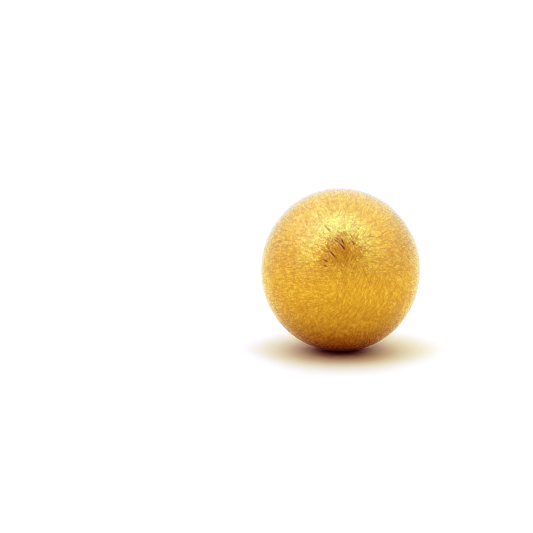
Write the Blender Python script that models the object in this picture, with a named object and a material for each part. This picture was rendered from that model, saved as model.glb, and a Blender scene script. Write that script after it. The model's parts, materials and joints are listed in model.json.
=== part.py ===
"""A ball stud earring, resting on a surface: a hollow satin ball with its soldered pad and post,
and the ear nut that slides on the post.

Metres, +Z up. The ball's front looks towards -Y. The post leaves the back of the ball and tips
down until the ear nut touches the surface, which is z = 0.
"""

import math

import bmesh
import bpy
from mathutils import Matrix

# The ball, hand finished and a little out of round
BALL_WIDTH = 0.01363
BALL_HEIGHT = 0.01400
BALL_DEPTH = 0.01380
BALL_WALL = 0.00025
VENT_BORE = 0.00080
VENT_MARGIN = 0.00080

# The pad that the post stands on, soldered to the back of the ball
PAD_DIAMETER = 0.00400
PAD_RISE = 0.00035
PAD_EDGE = 0.00010

# The post, with a ring notch that the ear nut snaps into
POST_DIAMETER = 0.00090
POST_LENGTH = 0.01000
POST_FILLET = 0.00012
NOTCH_FROM_TIP = 0.00220
NOTCH_LENGTH = 0.00050
NOTCH_DEPTH = 0.00009
TIP_TAPER = 0.00060
TIP_FLAT = 0.00040

# The ear nut, one strip of sheet whose ends curl in to grip the post
NUT_SHEET = 0.00030
NUT_WIDTH = 0.00430
NUT_CURL_RADIUS = 0.00110
NUT_CURL_END_RADIUS = 0.00072
NUT_CURL_TURN = math.radians(330)
NUT_EDGE = 0.00006
NUT_CLEARANCE = 0.00005

# How finely the round shapes are divided
BALL_SIDES = 64
CAVITY_SIDES = 40
POST_SIDES = 28
CURL_STEPS = 22
ARC_STEPS = 4

GRIP_ANGLE = math.radians(270)
SMOOTH_ANGLE = math.radians(32)
MERGE_DISTANCE = 1e-7

# Places along the post, measured from the centre of the ball
PAD_FACE = BALL_DEPTH / 2 + PAD_RISE
POST_TIP = PAD_FACE + POST_LENGTH
NOTCH_PLACE = POST_TIP - NOTCH_FROM_TIP
NUT_PLATE = NOTCH_PLACE - NUT_CURL_RADIUS


def clear_scene():
    for obj in list(bpy.data.objects):
        bpy.data.objects.remove(obj, do_unlink=True)


def gold(name, colour, roughness):
    """A metal with this colour and gloss."""
    material = bpy.data.materials.new(name)
    material.use_nodes = True
    surface = material.node_tree.nodes["Principled BSDF"]
    surface.inputs["Base Color"].default_value = (*colour, 1.0)
    surface.inputs["Metallic"].default_value = 1.0
    surface.inputs["Roughness"].default_value = roughness
    material.diffuse_color = (*colour, 1.0)
    return material


def add_object(name, bm, carrier, material=None):
    """A smooth shaded object made from a bmesh and carried by the empty."""
    mesh = bpy.data.meshes.new(name)
    bm.to_mesh(mesh)
    bm.free()
    mesh.shade_smooth()
    mesh.set_sharp_from_angle(angle=SMOOTH_ANGLE)
    if material:
        mesh.materials.append(material)
    obj = bpy.data.objects.new(name, mesh)
    obj.parent = carrier
    bpy.context.scene.collection.objects.link(obj)
    return obj


def combine(obj, operation, helper):
    """A Boolean between an object and a helper, which is then hidden."""
    helper.hide_render = True
    helper.display_type = "WIRE"
    modifier = obj.modifiers.new(helper.name, "BOOLEAN")
    modifier.operation = operation
    modifier.solver = "EXACT"
    modifier.object = helper


def ellipsoid(width, depth, height, sides):
    """A ball whose poles lie on the post's line, so that its rings run round the post."""
    bm = bmesh.new()
    lay_down = Matrix.Rotation(-math.pi / 2, 4, "X")
    stretch = Matrix.Diagonal((width / 2, height / 2, depth / 2, 1))
    bmesh.ops.create_uvsphere(
        bm, u_segments=sides, v_segments=sides // 2, radius=1, matrix=lay_down @ stretch
    )
    return bm


def turned(profile, sides):
    """A profile of (radius, place along the post) turned round the post's line."""
    bm = bmesh.new()
    points = [bm.verts.new((radius, along, 0)) for radius, along in profile]
    edges = [bm.edges.new(pair) for pair in zip(points, points[1:])]
    bmesh.ops.spin(
        bm, geom=points + edges, axis=(0, 1, 0), cent=(0, 0, 0), angle=math.tau, steps=sides
    )
    bmesh.ops.remove_doubles(bm, verts=bm.verts, dist=MERGE_DISTANCE)
    bmesh.ops.recalc_face_normals(bm, faces=bm.faces)
    return bm


def post_profile():
    """The post and pad from the tip to the pad's root, which is sunk into the ball's wall."""
    radius = POST_DIAMETER / 2
    pad_radius = PAD_DIAMETER / 2
    root = BALL_DEPTH / 2 * math.sqrt(1 - (PAD_DIAMETER / BALL_WIDTH) ** 2) - BALL_WALL
    profile = [(0, POST_TIP)]
    for step in range(ARC_STEPS + 1):
        share = step / ARC_STEPS
        bulge = math.sin(share * math.pi / 2)
        along = POST_TIP - TIP_TAPER * (1 - math.cos(share * math.pi / 2))
        profile.append((TIP_FLAT / 2 + (radius - TIP_FLAT / 2) * bulge, along))
    for step in range(ARC_STEPS + 1):
        share = step / ARC_STEPS
        depth = NOTCH_DEPTH * math.sin(share * math.pi)
        along = NOTCH_PLACE + NOTCH_LENGTH * (0.5 - share)
        profile.append((radius - depth, along))
    for step in range(ARC_STEPS + 1):
        turn = step / ARC_STEPS * math.pi / 2
        out = radius + POST_FILLET * (1 - math.cos(turn))
        profile.append((out, PAD_FACE + POST_FILLET * (1 - math.sin(turn))))
    for step in range(ARC_STEPS + 1):
        turn = step / ARC_STEPS * math.pi / 2
        out = pad_radius - PAD_EDGE * (1 - math.sin(turn))
        profile.append((out, PAD_FACE - PAD_EDGE * (1 - math.cos(turn))))
    profile += [(pad_radius, root), (0, root)]
    return profile


def curl_radius(turn):
    """The radius of the strip's middle, which tightens as the strip curls in."""
    return NUT_CURL_RADIUS - (NUT_CURL_RADIUS - NUT_CURL_END_RADIUS) * turn / NUT_CURL_TURN


def half_strip():
    """The upper half of the nut's strip: at each section its two faces, as (along, height) pairs."""
    grip = POST_DIAMETER / 2 + NUT_CLEARANCE + NUT_SHEET / 2
    middle = grip + curl_radius(GRIP_ANGLE)
    sections = []
    for step in range(CURL_STEPS + 1):
        turn = NUT_CURL_TURN * step / CURL_STEPS
        faces = []
        for radius in (curl_radius(turn) + NUT_SHEET / 2, curl_radius(turn) - NUT_SHEET / 2):
            along = NUT_PLATE + NUT_CURL_RADIUS - radius * math.cos(turn)
            faces.append((along, middle + radius * math.sin(turn)))
        sections.append(faces)
    return sections


def strip_sections():
    """The whole strip, end to end: the upper half and its mirror below the post."""
    upper = half_strip()
    lower = [[(along, -height) for along, height in faces] for faces in reversed(upper)]
    return lower + upper


def nut_strip():
    """The nut's strip at its full width, before its edges are eased and its hole is made."""
    bm = bmesh.new()
    rings = []
    for front, back in strip_sections():
        corners = [(-1, front), (1, front), (1, back), (-1, back)]
        rings.append([bm.verts.new((side * NUT_WIDTH / 2, *place)) for side, place in corners])
    for ring, following in zip(rings, rings[1:]):
        for here in range(4):
            there = (here + 1) % 4
            bm.faces.new((ring[here], ring[there], following[there], following[here]))
    bm.faces.new(rings[0])
    bm.faces.new(rings[-1])
    bmesh.ops.recalc_face_normals(bm, faces=bm.faces)
    return bm


def bore(radius, length, sides=20):
    """A cylinder for cutting, along the post's line and centred on its own origin."""
    bm = bmesh.new()
    bmesh.ops.create_cone(
        bm,
        cap_ends=True,
        segments=sides,
        radius1=radius,
        radius2=radius,
        depth=length,
        matrix=Matrix.Rotation(math.pi / 2, 4, "X"),
    )
    return bm


def hind_outline():
    """Points of the post and the nut, as (along, height), that could touch the surface."""
    points = [(along, side * radius) for radius, along in post_profile() for side in (1, -1)]
    for front, back in strip_sections():
        points += [front, back]
    return points


def ball_drop(tilt):
    """How far below its centre the ball reaches when the post is tipped down by this tilt."""
    return math.hypot(BALL_HEIGHT / 2 * math.cos(tilt), BALL_DEPTH / 2 * math.sin(tilt))


def hind_drop(tilt):
    """How far below the ball's centre the nut or the post reaches at this tilt."""
    outline = hind_outline()
    return max(along * math.sin(tilt) - height * math.cos(tilt) for along, height in outline)


def resting_tilt():
    """The tilt at which the ball and whatever is lowest behind it both touch the surface."""
    level, steep = 0.0, math.pi / 2
    while steep - level > 1e-9:
        middle = (level + steep) / 2
        if hind_drop(middle) < ball_drop(middle):
            level = middle
        else:
            steep = middle
    return level


def add_carrier():
    """The empty at the centre of the ball, which carries every piece at the resting tilt."""
    tilt = resting_tilt()
    front = math.hypot(BALL_DEPTH / 2 * math.cos(tilt), BALL_HEIGHT / 2 * math.sin(tilt))
    back = max(
        along * math.cos(tilt) + height * math.sin(tilt) for along, height in hind_outline()
    )
    carrier = bpy.data.objects.new("resting_place", None)
    carrier.location = (0, (front - back) / 2, ball_drop(tilt))
    carrier.rotation_euler = (-tilt, 0, 0)
    bpy.context.scene.collection.objects.link(carrier)
    return carrier


def add_ball_and_post(carrier, material):
    """The hollow ball with its pad and post soldered on, and the vent beside the pad."""
    ball = ellipsoid(BALL_WIDTH, BALL_DEPTH, BALL_HEIGHT, BALL_SIDES)
    ball = add_object("ball_and_post", ball, carrier, material)
    post = add_object("post_form", turned(post_profile(), POST_SIDES), carrier)
    inside = [size - 2 * BALL_WALL for size in (BALL_WIDTH, BALL_DEPTH, BALL_HEIGHT)]
    cavity = add_object("cavity_form", ellipsoid(*inside, CAVITY_SIDES), carrier)
    vent = add_object("vent_form", bore(VENT_BORE / 2, BALL_DEPTH / 2), carrier)
    off_axis = PAD_DIAMETER / 2 + VENT_MARGIN + VENT_BORE / 2
    lean = math.asin(off_axis / (BALL_HEIGHT / 2))
    vent.location = (0, BALL_DEPTH / 2 * math.cos(lean), -off_axis)
    vent.rotation_euler = (-lean, 0, 0)
    combine(ball, "UNION", post)
    combine(ball, "DIFFERENCE", cavity)
    combine(ball, "DIFFERENCE", vent)


def add_ear_nut(carrier, material):
    """The curled strip, with its cut edges eased and a hole for the post."""
    nut = add_object("ear_nut", nut_strip(), carrier, material)
    eased = nut.modifiers.new("Eased edges", "BEVEL")
    eased.width = NUT_EDGE
    eased.segments = 2
    eased.limit_method = "ANGLE"
    eased.angle_limit = math.radians(50)
    hole_radius = POST_DIAMETER / 2 + NUT_CLEARANCE
    hole = add_object("nut_hole_form", bore(hole_radius, 3 * NUT_SHEET), carrier)
    hole.location = (0, NUT_PLATE, 0)
    combine(nut, "DIFFERENCE", hole)


def main():
    clear_scene()
    satin_gold = gold("satin_gold", (0.83, 0.53, 0.18), 0.34)
    polished_gold = gold("polished_gold", (0.86, 0.58, 0.24), 0.18)
    carrier = add_carrier()
    add_ball_and_post(carrier, satin_gold)
    add_ear_nut(carrier, polished_gold)


main()
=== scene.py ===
"""A ball stud earring in satin gold, with its post and ear nut, on a pale studio floor."""

import json
import math

import bmesh
import bpy
from bpy.props import FloatProperty, FloatVectorProperty, IntProperty, PointerProperty
from mathutils import Matrix, Vector


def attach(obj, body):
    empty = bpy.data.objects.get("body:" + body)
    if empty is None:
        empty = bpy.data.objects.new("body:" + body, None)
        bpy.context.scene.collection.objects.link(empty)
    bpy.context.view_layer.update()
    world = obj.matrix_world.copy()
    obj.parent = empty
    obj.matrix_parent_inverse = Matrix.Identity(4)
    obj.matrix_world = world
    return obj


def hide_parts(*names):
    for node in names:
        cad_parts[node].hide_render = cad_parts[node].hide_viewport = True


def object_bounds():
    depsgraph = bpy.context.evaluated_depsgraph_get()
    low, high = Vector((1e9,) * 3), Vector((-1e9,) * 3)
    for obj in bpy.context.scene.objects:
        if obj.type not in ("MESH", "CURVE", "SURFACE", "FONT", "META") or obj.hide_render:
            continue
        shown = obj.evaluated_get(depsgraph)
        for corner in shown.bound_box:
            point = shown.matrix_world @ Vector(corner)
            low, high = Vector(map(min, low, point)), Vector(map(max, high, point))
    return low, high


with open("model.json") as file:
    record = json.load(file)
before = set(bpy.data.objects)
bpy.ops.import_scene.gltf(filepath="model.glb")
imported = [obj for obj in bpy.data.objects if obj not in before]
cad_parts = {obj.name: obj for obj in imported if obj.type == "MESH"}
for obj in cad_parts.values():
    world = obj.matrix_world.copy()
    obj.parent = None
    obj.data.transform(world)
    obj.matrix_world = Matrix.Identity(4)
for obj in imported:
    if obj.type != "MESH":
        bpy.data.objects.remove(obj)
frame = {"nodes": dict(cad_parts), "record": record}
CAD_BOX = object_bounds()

bl_info = {
    "name": "Ball Stud Earring",
    "version": (1, 0, 0),
    "blender": (4, 5, 0),
    "location": "3D View > Sidebar > Earring",
    "description": "Models a satin gold ball stud with its post and ear nut, and lights it",
    "category": "Add Mesh",
}

BODY = "root"
BALL_NODE = "ball_and_post"
NUT_NODE = "ear_nut"
MM = 0.001


# Places read from the frame

def mount(name):
    """The place and direction of one of the record's mounts."""
    for row in frame["record"]["mounts"]:
        if row["name"] == name:
            return Vector(row["pos_m"]), Vector(row["axis"])
    raise RuntimeError(f"the record has no mount named {name}")


SEAT, POST_WAY = mount("lobe_seat")
PLATE, _ = mount("nut_face")
TILT = math.atan2(-POST_WAY.z, POST_WAY.y)
LAID = Matrix.Rotation(-TILT, 4, "X")


def in_post_frame(node):
    """A node's corners turned back so that the post runs along +Y."""
    back = LAID.inverted()
    return [back @ vertex.co for vertex in frame["nodes"][node].data.vertices]


BALL_POINTS = in_post_frame(BALL_NODE)
TOP_POINT = max(BALL_POINTS, key=lambda point: point.z)
LOW_POINT = min(BALL_POINTS, key=lambda point: point.z)
CENTRE = Vector((0, TOP_POINT.y, (TOP_POINT.z + LOW_POINT.z) / 2))
PLACE = LAID @ Matrix.Translation(CENTRE)
WIDTH = CAD_BOX[1].x - CAD_BOX[0].x
HEIGHT = TOP_POINT.z - LOW_POINT.z
DEPTH = 2 * (CENTRE.y - min(point.y for point in BALL_POINTS))
POST_END = max(point.y for point in BALL_POINTS) - CENTRE.y
PAD_FACE = (LAID.inverted() @ SEAT).y - CENTRE.y
PLATE_FACE = (LAID.inverted() @ PLATE).y - CENTRE.y
BALL_CENTRE = PLACE.translation


# Settings that a user would change

def length(name, description, default):
    """A length, shown in the scene's units."""
    return FloatProperty(
        name=name, description=description, default=default, min=0, precision=5,
        unit="LENGTH", subtype="DISTANCE",
    )


def share(name, description, default):
    """A share from nothing to all."""
    return FloatProperty(
        name=name, description=description, default=default, min=0, max=1, subtype="FACTOR"
    )


def rotation(name, description, degrees):
    """An angle, given in degrees and kept in radians."""
    return FloatProperty(
        name=name, description=description, default=math.radians(degrees), unit="ROTATION",
        subtype="ANGLE",
    )


def tint(name, description, default):
    """A colour, or a light's colour times its strength."""
    return FloatVectorProperty(
        name=name, description=description, default=default, size=3, min=0, max=20,
        subtype="COLOR",
    )


class BallSettings(bpy.types.PropertyGroup):
    """Sizes of the ball"""

    width: length("Width", "Size across the ball", WIDTH)
    height: length("Height", "Size across the ball, square to the post", HEIGHT)
    depth: length("Depth", "Size along the post", DEPTH)
    wall: length("Wall", "Thickness of the hollow ball's wall", 0.25 * MM)
    vent: length("Vent", "Bore of the vent beside the pad", 0.8 * MM)
    vent_offset: length("Vent offset", "From the post's line to the vent", 3.2 * MM)
    unevenness: length("Unevenness", "How far hand finishing leaves the ball off true", 0.03 * MM)
    sides: IntProperty(name="Sides", description="Faces round the ball", default=192, min=32)


class PostSettings(bpy.types.PropertyGroup):
    """Sizes of the pad and post"""

    pad: length("Pad", "Diameter of the pad", 4.0 * MM)
    pad_edge: length("Pad edge", "Radius of the pad's edge", 0.1 * MM)
    solder: length("Solder", "Size of the solder's fillets", 0.12 * MM)
    gauge: length("Gauge", "Diameter of the post", 0.9 * MM)
    notch_from_tip: length("Notch from tip", "Place of the notch", 2.2 * MM)
    notch_length: length("Notch length", "Length of the notch", 0.5 * MM)
    notch_depth: length("Notch depth", "Depth of the notch", 0.09 * MM)
    taper: length("Taper", "Length of the eased tip", 0.6 * MM)
    tip_flat: length("Tip flat", "Diameter of the tip's flat end", 0.4 * MM)
    sides: IntProperty(name="Sides", description="Faces round the post", default=72, min=12)


class NutSettings(bpy.types.PropertyGroup):
    """Sizes of the ear nut"""

    sheet: length("Sheet", "Thickness of the strip", 0.3 * MM)
    width: length("Width", "Width of the strip", 4.3 * MM)
    curl: length("Curl", "Radius where the curl leaves the plate", 1.1 * MM)
    curl_end: length("Curl end", "Radius at the strip's end", 0.72 * MM)
    clearance: length("Clearance", "Gap between the strip and the post", 0.05 * MM)
    edge: length("Edge", "Size of the eased edges", 0.05 * MM)
    steps: IntProperty(name="Steps", description="Bends along one curl", default=44, min=8)


class FinishSettings(bpy.types.PropertyGroup):
    """Colours and finish of the gold"""

    gold: tint("Gold", "Colour of the satin gold", (0.785, 0.56, 0.066))
    # Painted shade: the gold darker and redder deep in the strokes' grooves
    shaded_groove: tint("Groove", "Colour deep in the strokes", (0.66, 0.434, 0.046))
    # Painted shade: the gold dark red-brown deep in the few scratches
    shaded_scratch: tint("Scratch", "Colour deep in the few scratches", (0.26, 0.11, 0.02))
    # Painted highlight: the gold lighter and paler on the raised ridges of the strokes
    lit_ridge: tint("Ridge", "Colour of the burnished ridges", (0.86, 0.635, 0.107))
    pale_gold: tint("Pale gold", "Colour of the polished gold", (0.85, 0.645, 0.165))
    worn_gold: tint("Worn gold", "Colour where the polish is worn", (0.79, 0.57, 0.12))
    solder_gold: tint("Solder", "Colour of the gold solder", (0.74, 0.60, 0.19))
    polish: share("Polish", "Roughness of the polished gold", 0.12)
    mark_depth: length("Mark depth", "Depth of turning and rolling marks", 0.004 * MM)
    satin: share("Satin", "Roughness between the strokes", 0.09)
    lacquer: share("Lacquer", "Weight of the thin clear lacquer", 1.0)
    lacquer_roughness: share("Lacquer roughness", "Roughness of the lacquer", 0.4)
    stroke_width: length("Stroke width", "Width of one brush stroke", 0.047 * MM)
    stroke_length: length("Stroke length", "Length of one brush stroke", 0.8 * MM)
    facet: length("Facet", "Size of the finest facets", 0.085 * MM)
    sparkle: share("Sparkle", "How far the finest facets tilt on the front", 0.30)
    rim_sparkle: share("Rim sparkle", "How far they tilt round the sides", 0.08)
    stroke_depth: length("Stroke depth", "Depth of one brush stroke", 0.003 * MM)


class StudioSettings(bpy.types.PropertyGroup):
    """The floor, the lights and the camera"""

    floor_size: length("Floor", "Side of the floor", 1.6)
    floor_colour: tint("Floor colour", "Colour of the floor", (0.965, 0.885, 0.487))
    tent: tint("Tent", "Light of the tent all round", (1.08, 1.042, 1.20))
    sky: tint("Sky", "Extra light towards the top", (0.17, 0.165, 0.48))
    back: tint("Back", "Extra light from behind", (0.0, 0.038, 0.115))
    left: tint("Left", "Extra light from the left", (0.060, 0.040, 0.26))
    right: tint("Right", "Extra light from the right", (0.0, 0.0, 0.20))
    arch: tint("Arch", "Extra light of the narrow arch in front", (0.25, 1.35, 4.6))
    glow: tint("Glow", "Extra soft light round the arch", (0.01, 0.06, 1.1))
    opening: tint("Opening", "Light missing from the opening below the arch", (0.30, 0.37, 1.05))
    opening_rise: rotation("Opening angle", "The opening's angle above the floor", 38)
    camera_rise: rotation("Camera angle", "The camera's angle above the floor", 10)
    lens: FloatProperty(
        name="Lens", description="Focal length", default=120, min=20, unit="CAMERA",
    )


SETTINGS = {
    "earring_ball": BallSettings,
    "earring_post": PostSettings,
    "earring_nut": NutSettings,
    "earring_finish": FinishSettings,
    "earring_studio": StudioSettings,
}


# Modelling by hand, in small steps

SMOOTH_BELOW = math.radians(32)
HOLE_SIDES = 48


def deselect_all():
    """Leaves edit mode and selects nothing."""
    if bpy.context.mode != "OBJECT":
        bpy.ops.object.mode_set(mode="OBJECT")
    bpy.ops.object.select_all(action="DESELECT")


def new_piece(name):
    """Names the primitive that was just added."""
    piece = bpy.context.object
    piece.name = name
    piece.data.name = name
    return piece


def edit_faces(piece, wanted):
    """Goes into edit mode with only the wanted faces selected."""
    bpy.context.view_layer.objects.active = piece
    bpy.ops.object.mode_set(mode="EDIT")
    bpy.ops.mesh.select_mode(type="FACE")
    bpy.ops.mesh.select_all(action="DESELECT")
    mesh = bmesh.from_edit_mesh(piece.data)
    for face in mesh.faces:
        face.select_set(wanted(face))
    bmesh.update_edit_mesh(piece.data)


def apply_modifier(piece, kind, **values):
    """Adds a modifier with these values and applies it."""
    modifier = piece.modifiers.new(kind.title(), kind)
    for name, value in values.items():
        setattr(modifier, name, value)
    bpy.context.view_layer.objects.active = piece
    bpy.ops.object.modifier_apply(modifier=modifier.name)


def cut_out(piece, cutter):
    """Takes the cutter's shape out of the piece and removes the cutter."""
    apply_modifier(piece, "BOOLEAN", operation="DIFFERENCE", solver="EXACT", object=cutter)
    bpy.data.objects.remove(cutter, do_unlink=True)


def set_down(piece, matrix):
    """Moves the piece by the matrix, with its place kept in its mesh."""
    deselect_all()
    piece.select_set(True)
    bpy.context.view_layer.objects.active = piece
    piece.matrix_world = matrix @ piece.matrix_world
    bpy.ops.object.transform_apply(location=True, rotation=True, scale=True)


def finish_piece(piece, material, node):
    """Sets the piece in its place, smooths it, and ties it to the frame."""
    set_down(piece, PLACE)
    bpy.ops.object.shade_smooth_by_angle(angle=SMOOTH_BELOW)
    piece.data.materials.clear()
    piece.data.materials.append(material)
    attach(piece, BODY)
    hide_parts(node)


def turned(name, stations, sides):
    """A round piece raised from a disc through (radius, height) stations, like work on a lathe."""
    radius, height = stations[0]
    deselect_all()
    bpy.ops.mesh.primitive_circle_add(
        vertices=sides, radius=radius, fill_type="NGON", location=(0, 0, height)
    )
    piece = new_piece(name)
    edit_faces(piece, lambda face: True)
    for next_radius, next_height in stations[1:]:
        bpy.ops.mesh.extrude_region_move(
            TRANSFORM_OT_translate={"value": (0, 0, next_height - height)}
        )
        grow = next_radius / radius
        bpy.ops.transform.resize(
            value=(grow, grow, 1), center_override=(0, 0, next_height)
        )
        radius, height = next_radius, next_height
    bpy.ops.mesh.select_all(action="SELECT")
    bpy.ops.mesh.normals_make_consistent(inside=False)
    bpy.ops.object.mode_set(mode="OBJECT")
    set_down(piece, Matrix.Rotation(-math.pi / 2, 4, "X"))
    return piece


def rounded(steps, shape):
    """Stations along one round form, whose shape takes a share from 0 to 1."""
    return [shape(step / steps) for step in range(steps + 1)]


# The ball

SWELLS_ACROSS = 2.4
MIDDLE_SWELL = 0.62


def model_ball(ball):
    """A sphere formed slightly out of round, hollowed to its wall, with the vent drilled."""
    deselect_all()
    bpy.ops.mesh.primitive_uv_sphere_add(
        segments=ball.sides, ring_count=ball.sides // 2, radius=0.5
    )
    piece = new_piece("satin_ball")
    piece.scale = (ball.width, ball.height, ball.depth)
    set_down(piece, Matrix.Rotation(-math.pi / 2, 4, "X"))
    swell = bpy.data.textures.new("hand_formed", "CLOUDS")
    swell.noise_scale = ball.width / SWELLS_ACROSS
    swell.noise_depth = 1
    apply_modifier(
        piece, "DISPLACE", texture=swell, strength=ball.unevenness, mid_level=MIDDLE_SWELL,
        texture_coords="LOCAL",
    )
    apply_modifier(piece, "SOLIDIFY", thickness=ball.wall, offset=-1)
    lean = math.asin(ball.vent_offset / (ball.height / 2))
    along = ball.depth / 2 * math.cos(lean)
    bpy.ops.mesh.primitive_cylinder_add(
        vertices=HOLE_SIDES, radius=ball.vent / 2, depth=ball.depth / 4,
        location=(0, along, -ball.vent_offset), rotation=(math.pi / 2 - lean, 0, 0),
    )
    cut_out(piece, bpy.context.object)
    return piece


# The pad and post

SOLDER_RISE = 1.6
NOTCH_ROUNDNESS = 0.7


def post_stations(ball, post):
    """The pad, its solder, the post, the notch and the eased tip, from the ball outwards."""
    pad = post.pad / 2
    stem = post.gauge / 2
    bead = post.solder
    notch = POST_END - post.notch_from_tip

    def ball_face(radius):
        return ball.depth / 2 * math.sqrt(1 - (2 * radius / ball.width) ** 2)

    def solder_to_pad(part):
        turn = part * math.pi / 2
        radius = pad + bead * (1 - math.sin(turn))
        return radius, ball_face(pad + bead) + bead * SOLDER_RISE * (1 - math.cos(turn))

    def pad_edge(part):
        turn = part * math.pi / 2
        radius = pad - post.pad_edge * (1 - math.cos(turn))
        return radius, PAD_FACE - post.pad_edge * (1 - math.sin(turn))

    def solder_to_post(part):
        turn = part * math.pi / 2
        return stem + bead * (1 - math.sin(turn)), PAD_FACE + bead * (1 - math.cos(turn))

    def notch_wall(part):
        depth = post.notch_depth * math.sin(part * math.pi) ** NOTCH_ROUNDNESS
        return stem - depth, notch + post.notch_length * (part - 0.5)

    def tip(part):
        turn = part * math.pi / 2
        radius = post.tip_flat / 2 + (stem - post.tip_flat / 2) * math.cos(turn)
        return radius, POST_END - post.taper * (1 - math.sin(turn))

    stations = [(pad + bead, ball_face(pad + bead) - ball.wall / 2)]
    for shape, steps in (
        (solder_to_pad, 6), (pad_edge, 5), (solder_to_post, 6), (notch_wall, 10), (tip, 9)
    ):
        stations += rounded(steps, shape)
    return stations


def model_post(ball, post):
    """The pad and post, raised from inside the ball's wall out to the tip."""
    return turned("pad_and_post", post_stations(ball, post), post.sides)


# The ear nut

CURL_TURN = math.radians(330)
GRIP_TURN = math.radians(270)
EASED_ABOVE = math.radians(50)
SAME_PLACE = 0.001 * MM


def curl_place(nut, stem, turn):
    """The middle of the strip after this much of the curl, as a point in the post's frame."""
    def radius_at(angle):
        return nut.curl - (nut.curl - nut.curl_end) * angle / CURL_TURN

    middle = stem + nut.clearance + nut.sheet / 2 + radius_at(GRIP_TURN)
    radius = radius_at(turn)
    plate = PLATE_FACE + nut.sheet / 2
    along = plate + nut.curl - radius * math.cos(turn)
    return Vector((0, along, middle + radius * math.sin(turn)))


def in_mirror_plane(face):
    """Whether the face lies in the plane that parts the nut's two halves."""
    return abs(face.calc_center_median().z) < SAME_PLACE and abs(face.normal.z) > 0.9


def model_nut(post, nut):
    """Half a strip extruded along its curl, mirrored below the post, eased and drilled."""
    stem = post.gauge / 2
    plate = PLATE_FACE + nut.sheet / 2
    deselect_all()
    bpy.ops.mesh.primitive_plane_add(size=1, location=(0, plate, 0))
    piece = new_piece("curled_ear_nut")
    piece.scale = (nut.width, nut.sheet, 1)
    bpy.ops.object.transform_apply(location=True, rotation=True, scale=True)
    edit_faces(piece, lambda face: True)
    here = Vector((0, plate, 0))
    for step in range(nut.steps + 1):
        turn = CURL_TURN * step / nut.steps
        there = curl_place(nut, stem, turn)
        bpy.ops.mesh.extrude_region_move(TRANSFORM_OT_translate={"value": there - here})
        if step:
            bpy.ops.transform.rotate(
                value=CURL_TURN / nut.steps, orient_axis="X", center_override=there
            )
        here = there
    bpy.ops.object.mode_set(mode="OBJECT")
    edit_faces(piece, in_mirror_plane)
    bpy.ops.mesh.delete(type="FACE")
    bpy.ops.mesh.select_all(action="SELECT")
    bpy.ops.mesh.normals_make_consistent(inside=False)
    bpy.ops.object.mode_set(mode="OBJECT")
    apply_modifier(piece, "MIRROR", use_axis=(False, False, True), merge_threshold=SAME_PLACE)
    apply_modifier(
        piece, "BEVEL", width=nut.edge, segments=3, limit_method="ANGLE",
        angle_limit=EASED_ABOVE,
    )
    bpy.ops.mesh.primitive_cylinder_add(
        vertices=HOLE_SIDES, radius=stem + nut.clearance, depth=3 * nut.sheet,
        location=(0, plate, 0), rotation=(math.pi / 2, 0, 0),
    )
    cut_out(piece, bpy.context.object)
    return piece


# Materials

class Nodes:
    """A material's node tree, with short ways to add and join nodes."""

    def __init__(self, tree):
        self.tree = tree

    def add(self, kind, inputs=None, **values):
        """A new node with these settings, and values or links for its inputs."""
        node = self.tree.nodes.new(kind)
        for name, value in values.items():
            setattr(node, name, value)
        for name, value in (inputs or {}).items():
            self.set(node.inputs[name], value)
        return node

    def set(self, socket, value):
        """Links the socket to another, or gives it a value."""
        if isinstance(value, bpy.types.NodeSocket):
            self.tree.links.new(value, socket)
        else:
            socket.default_value = value

    def math(self, operation, *values):
        """The result of one operation on numbers."""
        node = self.add("ShaderNodeMath", operation=operation)
        for socket, value in zip(node.inputs, values):
            self.set(socket, value)
        return node.outputs[0]

    def vector(self, operation, *values, output=0):
        """The result of one operation on vectors."""
        node = self.add("ShaderNodeVectorMath", operation=operation)
        for socket, value in zip(node.inputs, values):
            self.set(socket, value)
        return node.outputs[output]

    def scale(self, value, factor):
        """A vector times a number."""
        node = self.add(
            "ShaderNodeVectorMath", operation="SCALE", inputs={0: value, "Scale": factor}
        )
        return node.outputs[0]

    def parts(self, value):
        """The X, Y and Z of a vector."""
        return self.add("ShaderNodeSeparateXYZ", inputs={"Vector": value}).outputs

    def joined(self, **parts):
        """A vector from some of X, Y and Z, with nothing for the rest."""
        return self.add("ShaderNodeCombineXYZ", inputs=parts).outputs[0]

    def product(self, first, *others):
        """All the numbers multiplied together."""
        for other in others:
            first = self.math("MULTIPLY", first, other)
        return first

    def squared(self, value):
        return self.math("MULTIPLY", value, value)

    def mix(self, factor, first, second):
        """A colour between two, each a colour or a socket."""
        node = self.add("ShaderNodeMix", data_type="RGBA", inputs={"Factor": factor})
        ends = [socket for socket in node.inputs if socket.type == "RGBA"]
        for socket, value in zip(ends, (first, second)):
            self.set(socket, value if isinstance(value, bpy.types.NodeSocket) else (*value, 1))
        return next(socket for socket in node.outputs if socket.type == "RGBA")

    def smooth(self, value, low, high, to_low=0.0, to_high=1.0):
        """Runs smoothly from to_low to to_high as the value goes from low to high."""
        node = self.add(
            "ShaderNodeMapRange", interpolation_type="SMOOTHSTEP",
            inputs={"Value": value, "From Min": low, "From Max": high,
                    "To Min": to_low, "To Max": to_high},
        )
        return node.outputs["Result"]


def new_material(name):
    """A new material, its nodes and its shader."""
    material = bpy.data.materials.new(name)
    material.use_nodes = True
    nodes = Nodes(material.node_tree)
    surface = material.node_tree.nodes["Principled BSDF"]
    return material, nodes, surface


def millimetres_from_ball(nodes):
    """Object coordinates in millimetres from the ball's middle, with Y along the post."""
    object_place = nodes.add("ShaderNodeTexCoord").outputs["Object"]
    centred = nodes.add(
        "ShaderNodeMapping", vector_type="TEXTURE",
        inputs={"Vector": object_place, "Location": BALL_CENTRE, "Rotation": (-TILT, 0, 0),
                "Scale": (MM, MM, MM)},
    )
    return centred.outputs["Vector"]


# The lower strokes lean further, more and more between two heights in millimetres
LOW_LEAN = 0.65
LOW_LEAN_HEIGHTS = (0.5, -2.0)
RAGGED_PER_MM = 1.2


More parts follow.
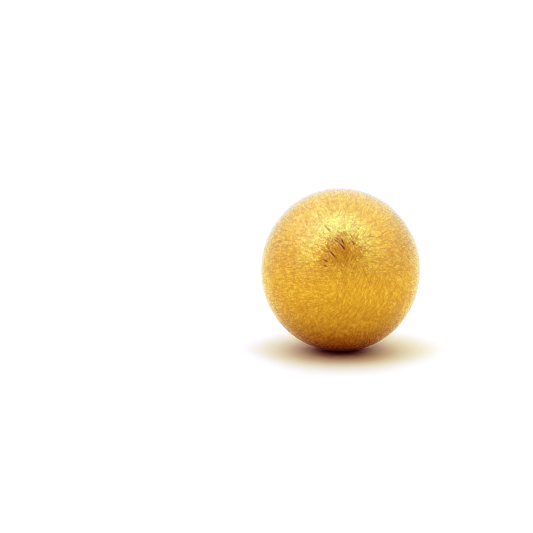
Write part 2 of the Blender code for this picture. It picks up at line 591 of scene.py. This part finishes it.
def patch_ways(nodes, place, patch, spread, lean, seed):
    """The direction across the strokes in each patch, and a random shift for the patch.

    The strokes fan out round the post's line; lean turns them off it and spread varies them.
    """
    ragged = nodes.add(
        "ShaderNodeTexNoise", inputs={"Vector": place, "Scale": RAGGED_PER_MM, "Detail": 2.0}
    ).outputs["Color"]
    offset = Vector((seed, seed * 0.7, -seed))
    moved = nodes.vector("ADD", place, offset)
    bent = nodes.add(
        "ShaderNodeVectorMath", operation="MULTIPLY_ADD",
        inputs={0: ragged, 1: (patch, patch, patch), 2: moved},
    ).outputs[0]
    cell = nodes.add("ShaderNodeTexVoronoi", inputs={"Vector": bent, "Scale": 1 / patch})
    half = Vector((patch / 2, patch / 2, patch / 2))
    middle = nodes.vector("SUBTRACT", cell.outputs["Position"], offset + half)
    parts = nodes.parts(middle)
    round_the_post = nodes.math("ARCTAN2", parts["Z"], parts["X"])
    shift = cell.outputs["Color"]
    least = math.pi / 2 - lean - spread / 2
    leaning = nodes.smooth(parts["Z"], *LOW_LEAN_HEIGHTS, least, least - LOW_LEAN)
    chance = nodes.parts(shift)["X"]
    angle = nodes.math(
        "MULTIPLY_ADD", chance, spread, nodes.math("ADD", round_the_post, leaning)
    )
    across = nodes.joined(X=nodes.math("COSINE", angle), Z=nodes.math("SINE", angle))
    return across, shift


PATCHES_APART = 40.0


def brush_strokes(nodes, place, across, shift, stroke_length, stroke_width):
    """Noise drawn out into strokes that run square to the across direction."""
    slice_place = nodes.math(
        "DIVIDE", nodes.vector("DOT_PRODUCT", place, across, output="Value"), stroke_width
    )
    along = nodes.scale(place, 1 / stroke_length)
    apart = nodes.scale(shift, PATCHES_APART)
    return nodes.add(
        "ShaderNodeTexNoise", noise_dimensions="4D",
        inputs={"Vector": nodes.vector("ADD", along, apart), "W": slice_place,
                "Scale": 1.0, "Detail": 0.0},
    ).outputs["Fac"]


# Scratches on the front: middle across and up, length and width in millimetres, angle, strength
SCRATCHES = (
    (-1.26, 2.56, 1.9, 0.10, -47, 0.6),
    (-0.50, 1.66, 0.9, 0.10, -43, 0.6),
    (-0.55, 1.44, 0.9, 0.10, -41, 0.7),
    (-0.10, 1.02, 0.9, 0.15, -52, 1.0),
    (-0.08, 1.44, 0.6, 0.13, -60, 1.0),
    (0.76, 1.36, 0.6, 0.12, -58, 0.8),
    (-0.90, 0.38, 0.9, 0.13, -49, 1.0),
    (-1.47, -0.12, 0.7, 0.12, -38, 0.7),
    (-1.50, -0.55, 0.4, 0.12, -25, 0.7),
    (-1.26, 0.90, 0.6, 0.10, -46, 0.5),
    (0.08, 2.12, 0.6, 0.10, -59, 0.5),
    (0.60, 1.98, 0.6, 0.10, -47, 0.5),
    (2.30, 1.95, 1.2, 0.10, -4, 0.4),
)
# A scratch fades before its ends, so each is drawn longer
SCRATCH_FADE = 1.7


def deep_scratches(nodes, place):
    """How deep the few scratches cut: each is a long thin ellipse on the front."""
    front = -DEPTH / 2 / MM
    deep = 0.0
    for across, up, long, wide, angle, strength in SCRATCHES:
        inside = nodes.add(
            "ShaderNodeMapping", vector_type="TEXTURE",
            inputs={"Vector": place, "Location": (across, front, up),
                    "Rotation": (0, -math.radians(angle), 0),
                    "Scale": (long / SCRATCH_FADE, -front / 2, wide / 2)},
        ).outputs["Vector"]
        shaded_scratch = nodes.add(
            "ShaderNodeTexGradient", gradient_type="SPHERICAL", inputs={"Vector": inside}
        ).outputs["Fac"]
        deep = nodes.math("MAXIMUM", nodes.math("MULTIPLY", shaded_scratch, strength), deep)
    return deep


# The layers of strokes: a patch's size in millimetres, how much its strokes spread, their lean
# off the fan, a seed, their length and width beside the settings, and their weight
STROKE_LAYERS = (
    (2.6, 0.5, 0.0, 3.7, 1.0, 1.0, 1.0),
    (1.9, 0.9, 0.1, 9.1, 0.7, 0.85, 1.0),
    (3.1, 1.2, 1.2, 5.3, 0.9, 1.0, 0.85),
    (1.4, 3.1, 0.0, 1.1, 0.5, 0.85, 0.9),
)
GROOVE_NOISE = (0.47, 0.30)
RIDGE_NOISE = (0.53, 0.70)


def stroke_layers(nodes, place, long, wide):
    """How far each place lies down in the strokes' grooves, and how far up on their ridges; both
    shape the bump and set where shade and a highlight are painted.
    """
    cut = 0.0
    burr = 0.0
    for patch, spread, lean, seed, longer, wider, weight in STROKE_LAYERS:
        across, shift = patch_ways(nodes, place, patch, spread, lean, seed)
        strokes = brush_strokes(nodes, place, across, shift, long * longer, wide * wider)
        shaded_groove = nodes.smooth(strokes, *GROOVE_NOISE, 0.0, weight)
        lit_ridge = nodes.smooth(strokes, *RIDGE_NOISE, 0.0, weight)
        cut = nodes.math("MAXIMUM", shaded_groove, cut)
        burr = nodes.math("MAXIMUM", lit_ridge, burr)
    return cut, burr


# The front, a little above the middle, where the last strokes were drawn all one way
FRONT = Vector((-0.3, -6.7, 1.0))
LAST_ACROSS = Vector((0.82, 0, 0.57))
LAST_WIDER = 1.3
LAST_NOISE = (0.53, 0.37)
LAST_REACH = (2.2, 0.9)


def last_strokes(nodes, place, from_front, long, wide):
    """The grooves of the last strokes, which fade away from the front."""
    strokes = brush_strokes(nodes, place, LAST_ACROSS, (0, 0, 0), long, wide * LAST_WIDER)
    return nodes.product(
        nodes.smooth(strokes, *LAST_NOISE), nodes.smooth(from_front, *LAST_REACH)
    )


# The dents: a patch's size, spread, lean and seed, then a dent's length and width in millimetres
DENT_PATCH = (2.2, 3.1, 0.0, 6.6)
DENT_LENGTH = 0.22
DENT_WIDTH = 0.08
# Heights beside the depth of a stroke
RIDGE_HEIGHT = 0.5
SCRATCH_DEPTH = 10.0
DENT_DEPTH = 3.0
# Distances from the front between which the facets calm down, in millimetres
CALM_DISTANCES = (8.0, 4.5)
ROUGHER_IN_GROOVES = 0.08
SMOOTHER_ON_RIDGES = 0.02
SCRATCH_EDGE = (0.05, 0.6)
LACQUER_INDEX = 1.6


def tilted_facets(nodes, place, normal, facet, tilt):
    """The normal, tipped at random on each of the finest facets."""
    facets = nodes.add(
        "ShaderNodeTexVoronoi", inputs={"Vector": place, "Scale": MM / facet}
    ).outputs["Color"]
    tilts = nodes.scale(nodes.vector("SUBTRACT", facets, (0.5, 0.5, 0.5)), tilt)
    return nodes.vector("NORMALIZE", nodes.vector("ADD", normal, tilts))


def satin_gold(finish):
    """Gold brushed by hand in short strokes that fan out from the front of the ball, with shade
    painted into the grooves and scratches and a highlight painted on the ridges.
    """
    material, nodes, surface = new_material("satin_gold")
    place = millimetres_from_ball(nodes)
    from_front = nodes.vector("DISTANCE", place, FRONT, output="Value")
    wide = finish.stroke_width / MM
    long = finish.stroke_length / MM
    cut, burr = stroke_layers(nodes, place, long, wide)
    cut = nodes.math("MAXIMUM", cut, last_strokes(nodes, place, from_front, long, wide))
    deep = deep_scratches(nodes, place)
    height = nodes.math("MULTIPLY_ADD", burr, RIDGE_HEIGHT, nodes.math("MULTIPLY", cut, -1.0))
    height = nodes.math("MULTIPLY_ADD", deep, -SCRATCH_DEPTH, height)
    across, shift = patch_ways(nodes, place, *DENT_PATCH)
    dents = brush_strokes(nodes, place, across, shift, DENT_LENGTH, DENT_WIDTH)
    bump = nodes.add(
        "ShaderNodeBump",
        inputs={"Height": nodes.math("MULTIPLY_ADD", dents, DENT_DEPTH, height),
                "Distance": finish.stroke_depth, "Strength": 1.0},
    )
    # Painted highlight: the gold turns lighter on the raised ridges
    colour = nodes.mix(burr, finish.gold, finish.lit_ridge)
    # Painted shade: the gold turns darker where the strokes cut grooves
    colour = nodes.mix(cut, colour, finish.shaded_groove)
    # Painted shade: the gold turns dark red-brown in the deep scratches
    colour = nodes.mix(nodes.smooth(deep, *SCRATCH_EDGE), colour, finish.shaded_scratch)
    rough = nodes.smooth(height, -1.0, RIDGE_HEIGHT, finish.satin + ROUGHER_IN_GROOVES,
                         finish.satin - SMOOTHER_ON_RIDGES)
    tilt = nodes.smooth(from_front, *CALM_DISTANCES, finish.rim_sparkle, finish.sparkle)
    normal = tilted_facets(nodes, place, bump.outputs["Normal"], finish.facet, tilt)
    nodes.set(surface.inputs["Base Color"], colour)
    nodes.set(surface.inputs["Metallic"], 1.0)
    nodes.set(surface.inputs["Roughness"], rough)
    nodes.set(surface.inputs["Normal"], normal)
    nodes.set(surface.inputs["Coat Weight"], finish.lacquer)
    nodes.set(surface.inputs["Coat Roughness"], finish.lacquer_roughness)
    nodes.set(surface.inputs["Coat IOR"], LACQUER_INDEX)
    return material


CLOUDS_PER_MM = 1.6
WORN_CLOUDS = (0.42, 0.66)
PITS_PER_MM = 22.0
PIT_DEPTH = 2.0
ROUGHER_WHERE_WORN = 0.12
ROUGHER_WHERE_MATT = 0.2


def polish(nodes, surface, finish, place, marks_place, matt):
    """Polished gold over fine marks, with cloudy wear and places left matt."""
    marks = nodes.add(
        "ShaderNodeTexNoise",
        inputs={"Vector": marks_place, "Scale": 1.0, "Detail": 4.0, "Roughness": 0.6},
    ).outputs["Fac"]
    clouds = nodes.add(
        "ShaderNodeTexNoise", inputs={"Vector": place, "Scale": CLOUDS_PER_MM, "Detail": 5.0}
    ).outputs["Fac"]
    worn = nodes.smooth(clouds, *WORN_CLOUDS)
    pits = nodes.add(
        "ShaderNodeTexNoise", inputs={"Vector": place, "Scale": PITS_PER_MM, "Detail": 2.0}
    ).outputs["Fac"]
    height = nodes.math("MULTIPLY_ADD", nodes.product(pits, matt), PIT_DEPTH, marks)
    bump = nodes.add(
        "ShaderNodeBump",
        inputs={"Height": height, "Distance": finish.mark_depth, "Strength": 1.0},
    )
    colour = nodes.mix(worn, finish.pale_gold, finish.worn_gold)
    colour = nodes.mix(nodes.math("MULTIPLY", marks, 0.5), colour, finish.worn_gold)
    colour = nodes.mix(nodes.math("MULTIPLY", matt, 0.7), colour, finish.solder_gold)
    rough = nodes.math("MULTIPLY_ADD", worn, ROUGHER_WHERE_WORN, finish.polish)
    rough = nodes.math("MULTIPLY_ADD", matt, ROUGHER_WHERE_MATT, rough)
    nodes.set(surface.inputs["Base Color"], colour)
    nodes.set(surface.inputs["Metallic"], 1.0)
    nodes.set(surface.inputs["Roughness"], rough)
    nodes.set(surface.inputs["Normal"], bump.outputs["Normal"])


TURNING_MARKS_PER_MM = 14.0
# How far below the pad's face, in millimetres, the solder starts and covers all
SOLDER_BELOW = (0.12, 0.30)


def turned_gold(finish):
    """The pad and post: rings from turning round the post's line, and matt solder below the pad."""
    material, nodes, surface = new_material("turned_gold")
    place = millimetres_from_ball(nodes)
    parts = nodes.parts(place)
    radius = nodes.vector("LENGTH", nodes.joined(X=parts["X"], Y=parts["Z"]), output="Value")
    rings = nodes.scale(nodes.joined(X=radius, Y=parts["Y"]), TURNING_MARKS_PER_MM)
    starts, covers_all = (PAD_FACE / MM - below for below in SOLDER_BELOW)
    soldered = nodes.smooth(parts["Y"], starts, covers_all)
    polish(nodes, surface, finish, place, rings, soldered)
    return material


ROLLING_MARKS_PER_MM = (16.0, 5.0, 0.8)
# Distances from the middle of the strip between which its cut edges turn matt
CUT_EDGE = (2.0, 2.14)
CUT_EDGE_MATT = 0.5


def rolled_gold(finish):
    """The ear nut: strip with rolling lines along it, and matt along its cut edges."""
    material, nodes, surface = new_material("rolled_gold")
    place = millimetres_from_ball(nodes)
    lines = nodes.vector("MULTIPLY", place, ROLLING_MARKS_PER_MM)
    from_middle = nodes.math("ABSOLUTE", nodes.parts(place)["X"])
    matt = nodes.smooth(from_middle, *CUT_EDGE, 0.0, CUT_EDGE_MATT)
    polish(nodes, surface, finish, place, lines, matt)
    return material


MOTTLES_PER_METRE = 60.0
MOTTLE_SHADES = (0.99, 1.0)
FLOOR_ROUGHNESS = 0.6


def pale_floor(studio):
    """A plain matt pale floor with the faintest mottle."""
    material, nodes, surface = new_material("pale_floor")
    place = nodes.add("ShaderNodeTexCoord").outputs["Object"]
    mottle = nodes.add(
        "ShaderNodeTexNoise", inputs={"Vector": place, "Scale": MOTTLES_PER_METRE, "Detail": 2.0}
    ).outputs["Fac"]
    shade = nodes.smooth(mottle, 0.3, 0.7, *MOTTLE_SHADES)
    colour = nodes.scale(studio.floor_colour[:], shade)
    nodes.set(surface.inputs["Base Color"], colour)
    nodes.set(surface.inputs["Roughness"], FLOOR_ROUGHNESS)
    return material


# The studio

# Where the photograph has the ball, and how large
BALL_PIXEL = Vector((340.4, 269.6))
BALL_PIXELS_HIGH = 164.0
PICTURE_PIXELS = 533.0


def add_floor(studio):
    """The floor that the earring lies on."""
    deselect_all()
    bpy.ops.mesh.primitive_plane_add(size=studio.floor_size)
    floor = new_piece("floor")
    floor.data.materials.append(pale_floor(studio))


def add_camera(studio):
    """A camera at the photographed angle, with the ball where the picture has it."""
    deselect_all()
    bpy.ops.object.camera_add()
    camera = bpy.context.object
    camera.name = "camera"
    camera.data.lens = studio.lens
    camera.data.clip_start = 1 * MM
    camera.data.clip_end = 10.0
    sensor = camera.data.sensor_width
    distance = HEIGHT * PICTURE_PIXELS * studio.lens / (sensor * BALL_PIXELS_HIGH)
    per_pixel = HEIGHT / BALL_PIXELS_HIGH
    offset = (BALL_PIXEL - Vector((PICTURE_PIXELS / 2, PICTURE_PIXELS / 2))) * per_pixel
    rise = studio.camera_rise
    ahead = Vector((0, math.cos(rise), -math.sin(rise)))
    up = Vector((0, math.sin(rise), math.cos(rise)))
    camera.location = (
        BALL_CENTRE - ahead * distance - Vector((1, 0, 0)) * offset.x + up * offset.y
    )
    camera.rotation_euler = (math.pi / 2 - rise, 0, 0)
    bpy.context.scene.camera = camera


# The broad lights: a setting's name, the light's direction, and the cosines from it to nothing
# and to the full light
BROAD_LIGHTS = (
    ("sky", (0, 0, 1), 0.2, 0.75),
    ("back", (0, math.cos(0.8), math.sin(0.8)), 0.0, 1.0),
    ("left", (-1, 0, 0), -0.1, 1.0),
    ("right", (1, 0, 0), -0.1, 1.0),
)
# The lights in front are placed by how far they lie aside, to the right, and how far they rise
# above the opening's direction, both as sines. Each pair of numbers is an edge, where a light
# goes from nothing to full
FRONT_EDGE = (0.10, 0.45)
ARCH_ASIDE = -0.05
ARCH_BEND = 1.26
ARCH_LOWER_EDGE = (0.60, 0.64)
ARCH_UPPER_EDGE = (0.735, 0.69)
ARCH_ENDS = (0.88, 0.60)
GLOW_ASIDE = -0.18
GLOW_RISE = 0.52
GLOW_NARROWNESS = 1.3
GLOW_FLATNESS = 2.2
GLOW_EDGE = (1.2, 0.2)
OPENING_ASIDE = 0.06
OPENING_BEND = 2.1
OPENING_UPPER_EDGE = (0.50, 0.38)
OPENING_LOWER_EDGE = (-0.45, -0.05)
OPENING_FRONT_EDGE = (0.3, 0.6)


def front_lights(nodes, front, rise, aside):
    """How bright the arch, the glow round it and the dark opening below it are each way."""
    ahead = nodes.smooth(front, *FRONT_EDGE)
    off_arch = nodes.math("ABSOLUTE", nodes.math("ADD", aside, -ARCH_ASIDE))
    curve = nodes.math("MULTIPLY_ADD", nodes.squared(off_arch), ARCH_BEND, rise)
    arch = nodes.product(
        nodes.smooth(curve, *ARCH_LOWER_EDGE), nodes.smooth(curve, *ARCH_UPPER_EDGE),
        nodes.smooth(off_arch, *ARCH_ENDS), ahead,
    )
    off_opening = nodes.math("ADD", aside, -OPENING_ASIDE)
    mouth = nodes.math("MULTIPLY_ADD", nodes.squared(off_opening), OPENING_BEND, rise)
    off_glow = nodes.math("ADD", aside, -GLOW_ASIDE)
    height = nodes.math("MULTIPLY", nodes.math("SUBTRACT", rise, GLOW_RISE), GLOW_FLATNESS)
    from_glow = nodes.math(
        "MULTIPLY_ADD", nodes.squared(off_glow), GLOW_NARROWNESS, nodes.squared(height)
    )
    above_opening = nodes.smooth(mouth, *reversed(OPENING_UPPER_EDGE))
    glow = nodes.product(nodes.smooth(from_glow, *GLOW_EDGE), ahead, above_opening)
    dark = nodes.product(
        nodes.smooth(mouth, *OPENING_UPPER_EDGE), nodes.smooth(rise, *OPENING_LOWER_EDGE),
        nodes.smooth(front, *OPENING_FRONT_EDGE), -1.0,
    )
    return arch, glow, dark


def light_tent(studio):
    """A pale tent that in front has a narrow bright arch over a darker opening."""
    world = bpy.data.worlds.new("tent")
    world.use_nodes = True
    bpy.context.scene.world = world
    nodes = Nodes(world.node_tree)
    way = nodes.vector("NORMALIZE", nodes.add("ShaderNodeTexCoord").outputs["Generated"])

    def toward(direction):
        return nodes.vector("DOT_PRODUCT", way, direction, output="Value")

    def facing(angle):
        """How far a direction faces the one in front at this angle above the floor."""
        return toward((0, -math.cos(angle), math.sin(angle)))

    front = facing(studio.opening_rise)
    rise = facing(studio.opening_rise + math.pi / 2)
    arch, glow, dark = front_lights(nodes, front, rise, toward((1, 0, 0)))
    lights = [
        (nodes.smooth(toward(direction), nothing, full), getattr(studio, name))
        for name, direction, nothing, full in BROAD_LIGHTS
    ]
    lights += [(arch, studio.arch), (glow, studio.glow), (dark, studio.opening)]
    total = studio.tent[:]
    for mask, colour in lights:
        total = nodes.vector("ADD", nodes.scale(colour[:], mask), total)
    background = world.node_tree.nodes["Background"]
    nodes.set(background.inputs["Color"], total)


# The display curves of red, green and blue: how deep the toe is, how far it reaches, and how
# much the top is lifted
CURVES = ((0.57, 0.42, 1.0), (0.98, 0.30, 1.09), (0.78, 0.10, 1.2))
TOE_POINTS = (0.25, 0.5, 0.75, 1.0, 1.4, 2.0)
LIFT_FROM = 0.65
LIFT_AT_START = 0.4
DISPLAY_GAMMA = 0.6


def set_tone():
    """Standard display colours, with curves that deepen the darker gold."""
    view = bpy.context.scene.view_settings
    view.view_transform = "Standard"
    view.look = "None"
    view.exposure = 0.0
    view.gamma = DISPLAY_GAMMA
    view.use_curve_mapping = True
    mapping = view.curve_mapping
    for curve, (depth, reach, lift) in zip(mapping.curves, CURVES):
        for point in TOE_POINTS:
            level = point * reach
            curve.points.new(level, level * (1 - depth * math.exp(-point ** 2)))
        if lift > 1:
            curve.points.new(LIFT_FROM, LIFT_FROM * (1 + LIFT_AT_START * (lift - 1)))
            curve.points[-1].location = (1 / lift, 1.0)
    mapping.update()


# Operators, one for each piece and one for the studio

class EARRING_OT_ball(bpy.types.Operator):
    """Model the hollow satin ball with its vent"""

    bl_idname = "earring.ball"
    bl_label = "Satin Ball"

    def execute(self, context):
        scene = context.scene
        piece = model_ball(scene.earring_ball)
        finish_piece(piece, satin_gold(scene.earring_finish), BALL_NODE)
        return {"FINISHED"}


class EARRING_OT_post(bpy.types.Operator):
    """Model the pad and the notched post that is soldered to the ball"""

    bl_idname = "earring.post"
    bl_label = "Pad and Post"

    def execute(self, context):
        scene = context.scene
        piece = model_post(scene.earring_ball, scene.earring_post)
        material = turned_gold(scene.earring_finish)
        finish_piece(piece, material, BALL_NODE)
        return {"FINISHED"}


class EARRING_OT_nut(bpy.types.Operator):
    """Model the curled ear nut on the post"""

    bl_idname = "earring.nut"
    bl_label = "Ear Nut"

    def execute(self, context):
        scene = context.scene
        piece = model_nut(scene.earring_post, scene.earring_nut)
        material = rolled_gold(scene.earring_finish)
        finish_piece(piece, material, NUT_NODE)
        return {"FINISHED"}


class EARRING_OT_studio(bpy.types.Operator):
    """Lay the floor, light the tent and place the camera"""

    bl_idname = "earring.studio"
    bl_label = "Studio"

    def execute(self, context):
        studio = context.scene.earring_studio
        add_floor(studio)
        light_tent(studio)
        add_camera(studio)
        set_tone()
        return {"FINISHED"}


class EARRING_PT_sidebar(bpy.types.Panel):
    """The earring's pieces and settings"""

    bl_idname = "EARRING_PT_sidebar"
    bl_label = "Ball Stud Earring"
    bl_space_type = "VIEW_3D"
    bl_region_type = "UI"
    bl_category = "Earring"

    def draw(self, context):
        for operator in OPERATORS:
            self.layout.operator(operator.bl_idname)
        for group, kind in SETTINGS.items():
            box = self.layout.box()
            box.label(text=group.split("_")[1].title())
            for name in kind.__annotations__:
                box.prop(getattr(context.scene, group), name)


OPERATORS = (EARRING_OT_ball, EARRING_OT_post, EARRING_OT_nut, EARRING_OT_studio)
CLASSES = (*SETTINGS.values(), *OPERATORS, EARRING_PT_sidebar)


def register():
    for kind in CLASSES:
        bpy.utils.register_class(kind)
    for group, kind in SETTINGS.items():
        setattr(bpy.types.Scene, group, PointerProperty(type=kind))


def unregister():
    for group in SETTINGS:
        delattr(bpy.types.Scene, group)
    for kind in reversed(CLASSES):
        bpy.utils.unregister_class(kind)


def main():
    register()
    bpy.ops.earring.ball()
    bpy.ops.earring.post()
    bpy.ops.earring.nut()
    bpy.ops.earring.studio()


if __name__ == "__main__":
    main()
